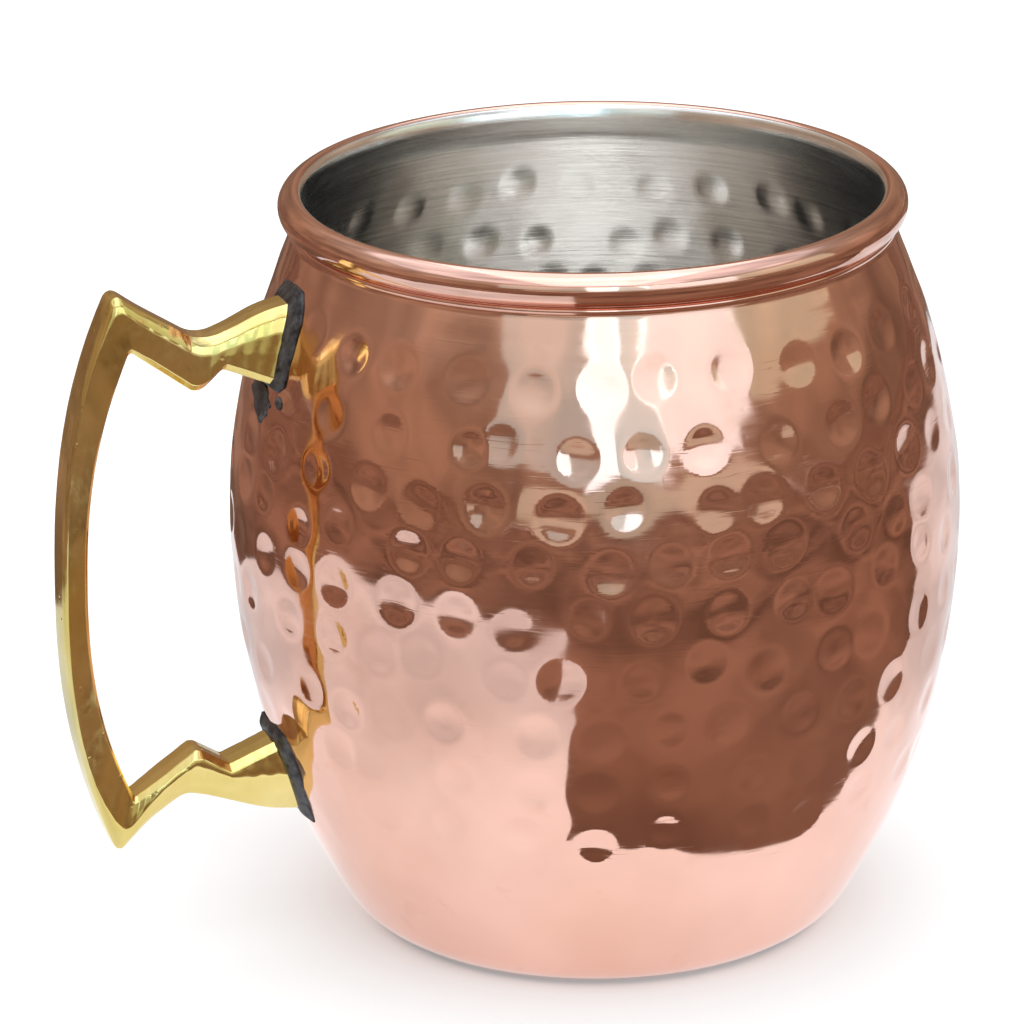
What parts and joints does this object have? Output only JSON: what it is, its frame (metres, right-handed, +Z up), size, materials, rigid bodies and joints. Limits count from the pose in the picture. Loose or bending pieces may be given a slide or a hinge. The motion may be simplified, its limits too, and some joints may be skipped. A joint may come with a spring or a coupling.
{
  "type": "barrel mug",
  "caption": "Hammered copper barrel mug with a rolled rim, a nickel-lined inside and a cast brass zigzag handle soldered to the wall.",
  "frame": {"origin": "centre of the flat base, on the mug's axis", "axes": "+Z up along the mug's axis; the handle reaches out along -X, in the XZ plane"},
  "size_m": [0.119, 0.0942, 0.0976],
  "materials": {
    "copper": "hammered and mirror-polished copper",
    "nickel": "dull nickel with circular brush lines",
    "brass": "polished casting with small pits and file marks",
    "solder": "rough, oxidised dark grey"
  },
  "bodies": {
    "root": {"copper_shell": "copper", "nickel_lining": "nickel", "handle": "brass", "upper_solder_joint": "solder", "lower_solder_joint": "solder", "solder_run": "solder"}
  },
  "joints": []
}
